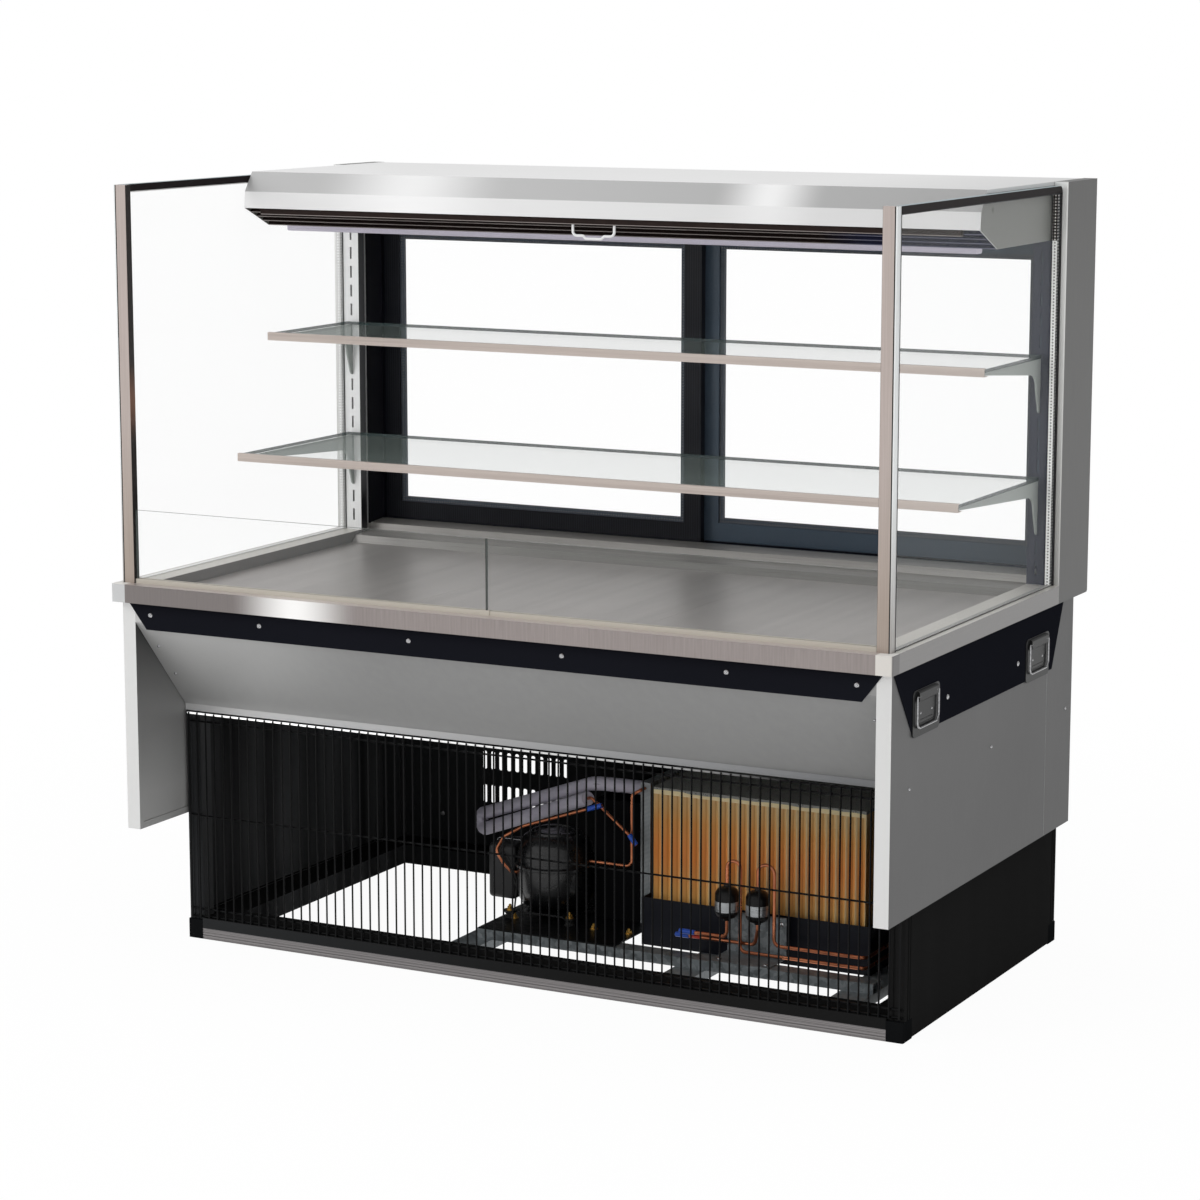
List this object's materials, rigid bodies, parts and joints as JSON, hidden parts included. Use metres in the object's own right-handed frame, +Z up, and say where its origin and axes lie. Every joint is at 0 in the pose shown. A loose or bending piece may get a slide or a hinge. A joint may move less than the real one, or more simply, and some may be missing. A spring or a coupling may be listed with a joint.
{
  "type": "open multideck display refrigerator",
  "caption": "Counter-height open-front refrigerated display case with glass ends, glass shelves, rear sliding doors, a night curtain and an exposed condensing unit behind a wire grille.",
  "frame": {"origin": "on the floor under the middle of the case's bounding box", "axes": "+X along the width, to the right as the shopper faces it; +Y from the shopper's side to the rear; +Z up"},
  "size_m": [1.52, 0.92, 1.411],
  "materials": {
    "stainless": "brushed stainless sheet",
    "stainless_satin": "satin stainless sheet",
    "galvanised": "galvanised sheet",
    "white_paint": "smooth satin paint",
    "grey_paint": "smooth satin paint",
    "black_paint": "fine-textured powder coat",
    "navy_paint": "satin powder coat",
    "aluminium": "drawn finish",
    "chrome": "bright plated",
    "black_plastic": "moulded, matt",
    "light_plastic": "translucent cover",
    "white_plastic": "smooth",
    "glass": "clear",
    "copper": "bare drawn tube",
    "foam_rubber": "closed-cell foam lagging",
    "wick": "pleated felt",
    "curtain": "coated woven fabric",
    "zinc": "plated screw heads"
  },
  "bodies": {
    "case": {"base_front_rail": "aluminium", "base_frame": "black_paint", "base_corner_caps": "black_plastic", "base_sides": "black_paint", "base_rear_panel": "black_paint", "front_grille": "black_paint", "front_skirt": "white_paint", "side_panels": "grey_paint", "black_bands": "black_paint", "handle_plates": "grey_paint", "countertop_front": "stainless", "countertop_sides": "stainless", "countertop_corner_caps": "stainless_satin", "rear_columns": "stainless_satin", "tank": "galvanised", "deck_pans": "stainless", "rear_riser": "stainless", "glass_channel": "aluminium", "front_glass": "glass", "end_glass": "glass", "end_posts": "stainless", "end_trims": "black_paint", "hood_shell": "white_paint", "discharge_grille": "black_plastic", "hood_lamp": "light_plastic", "curtain_web": "curtain", "door_frame": "navy_paint", "shelf_standards": "stainless_satin", "shelf_brackets": "stainless_satin", "shelf_glass": "glass", "shelf_trims": "stainless", "screws": "zinc", "unit_base": "galvanised", "compressor": "black_paint", "condenser_coil": "aluminium", "fan_shroud": "black_paint", "fan_motors": "black_paint", "condensate_tray": "black_plastic", "wick_pack": "wick", "filter_driers": "copper", "copper_pipes": "copper", "insulated_line": "foam_rubber", "evaporator_coil": "aluminium", "control_box": "black_plastic"},
    "door_left": {"rear_door_left": "navy_paint", "rear_door_glass_left": "glass"},
    "door_right": {"rear_door_right": "navy_paint", "rear_door_glass_right": "glass"},
    "handle_front_left": {"bail_front_left": "chrome"},
    "handle_rear_left": {"bail_rear_left": "chrome"},
    "handle_front_right": {"bail_front_right": "chrome"},
    "handle_rear_right": {"bail_rear_right": "chrome"},
    "curtain_pull": {"curtain_bar": "white_plastic"},
    "curtain_roll": {"curtain_roller": "curtain"},
    "condenser_fan": {"condenser_fan": "aluminium"},
    "evaporator_fan_left": {"evaporator_fan_left": "aluminium"},
    "evaporator_fan_right": {"evaporator_fan_right": "aluminium"},
    "brush": {"brush_carriage": "black_plastic"},
    "brush_drive": {"brush_screw": "aluminium"},
    "lamp_rocker": {"light_switch": "black_plastic"}
  },
  "joints": [
    {"name": "door_left_slide", "type": "slide", "parent": "case", "child": "door_left", "axis": [1, 0, 0], "range_m": [0, 0.68]},
    {"name": "door_right_slide", "type": "slide", "parent": "case", "child": "door_right", "axis": [1, 0, 0], "range_m": [-0.68, 0]},
    {"name": "bail_front_left_hinge", "type": "hinge", "parent": "case", "child": "handle_front_left", "pos_m": [-0.757, -0.298, 0.604], "axis": [0, 1, 0], "range_deg": [0, 90]},
    {"name": "bail_rear_left_hinge", "type": "hinge", "parent": "case", "child": "handle_rear_left", "pos_m": [-0.757, 0.222, 0.604], "axis": [0, 1, 0], "range_deg": [0, 90]},
    {"name": "bail_front_right_hinge", "type": "hinge", "parent": "case", "child": "handle_front_right", "pos_m": [0.757, -0.298, 0.604], "axis": [0, -1, 0], "range_deg": [0, 90]},
    {"name": "bail_rear_right_hinge", "type": "hinge", "parent": "case", "child": "handle_rear_right", "pos_m": [0.757, 0.222, 0.604], "axis": [0, -1, 0], "range_deg": [0, 90]},
    {"name": "curtain_slide", "type": "slide", "parent": "case", "child": "curtain_pull", "axis": [0, -0.5891, -0.8081], "range_m": [0, 0.62], "stiffness_N_per_m": 14, "springref_m": -0.6, "deforming": ["curtain_web"]},
    {"name": "curtain_roller_spin", "type": "hinge", "parent": "case", "child": "curtain_roll", "pos_m": [0, 0.01, 1.376], "axis": [1, 0, 0], "range_deg": [0, 1570]},
    {"name": "condenser_fan_spin", "type": "hinge", "parent": "case", "child": "condenser_fan", "pos_m": [0.0167, 0.135, 0.173], "axis": [1, 0, 0], "continuous": true},
    {"name": "evaporator_fan_left_spin", "type": "hinge", "parent": "case", "child": "evaporator_fan_left", "pos_m": [-0.3, 0.0855, 0.5735], "axis": [0, 1, 0], "continuous": true},
    {"name": "evaporator_fan_right_spin", "type": "hinge", "parent": "case", "child": "evaporator_fan_right", "pos_m": [0.3, 0.0855, 0.5735], "axis": [0, 1, 0], "continuous": true},
    {"name": "brush_lift", "type": "slide", "parent": "case", "child": "brush", "axis": [0, 0, 1], "range_m": [0, 0.22]},
    {"name": "brush_screw_spin", "type": "hinge", "parent": "case", "child": "brush_drive", "pos_m": [0.1083, 0.292, 0.2], "axis": [0, 0, 1], "range_deg": [0, 9901]},
    {"name": "lamp_rocker_tilt", "type": "hinge", "parent": "case", "child": "lamp_rocker", "pos_m": [0.465, 0.44713, 0.565], "axis": [1, 0, 0], "range_deg": [0, 16]}
  ],
  "couplings": [
    {"joint": "curtain_roller_spin", "follows": "curtain_slide", "rad_per_m": 44.053},
    {"joint": "brush_screw_spin", "follows": "brush_lift", "rad_per_m": 785.4}
  ]
}
